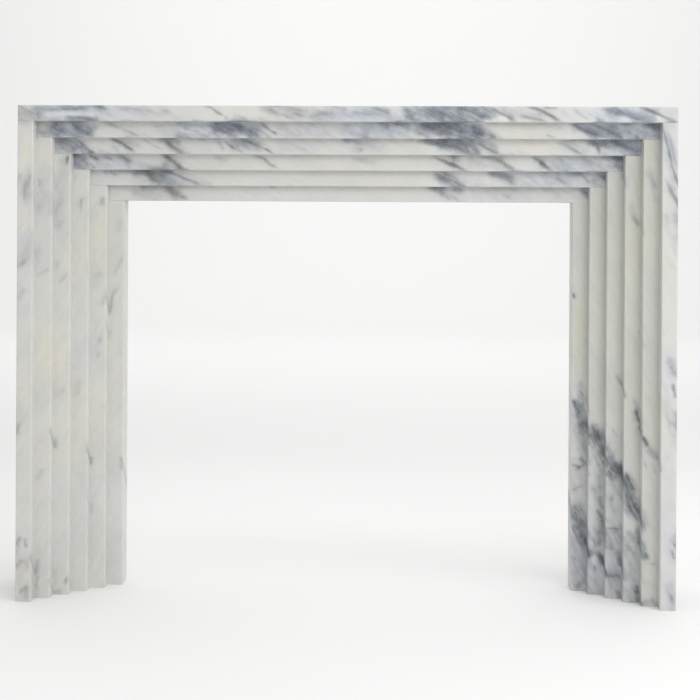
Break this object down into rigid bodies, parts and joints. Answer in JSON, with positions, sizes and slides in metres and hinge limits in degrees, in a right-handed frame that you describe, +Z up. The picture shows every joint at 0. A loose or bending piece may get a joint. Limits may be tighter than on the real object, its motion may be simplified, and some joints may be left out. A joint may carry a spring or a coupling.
{
  "type": "fireplace mantel",
  "caption": "Stepped marble fireplace mantel whose lintel and jambs share flat steps that fall back to a square-headed fire opening.",
  "frame": {"origin": "on the floor, at the middle of the mantel's width and depth", "axes": "+Z up, the stepped front faces -Y, the plain back faces +Y, and +X runs to the right jamb as seen from the front"},
  "size_m": [1.5, 0.2, 1.135],
  "materials": {
    "lintel_marble": "satin",
    "left_jamb_marble": "satin",
    "right_jamb_marble": "satin"
  },
  "bodies": {
    "root": {"lintel": "lintel_marble", "left_jamb": "left_jamb_marble", "right_jamb": "right_jamb_marble"}
  },
  "joints": []
}
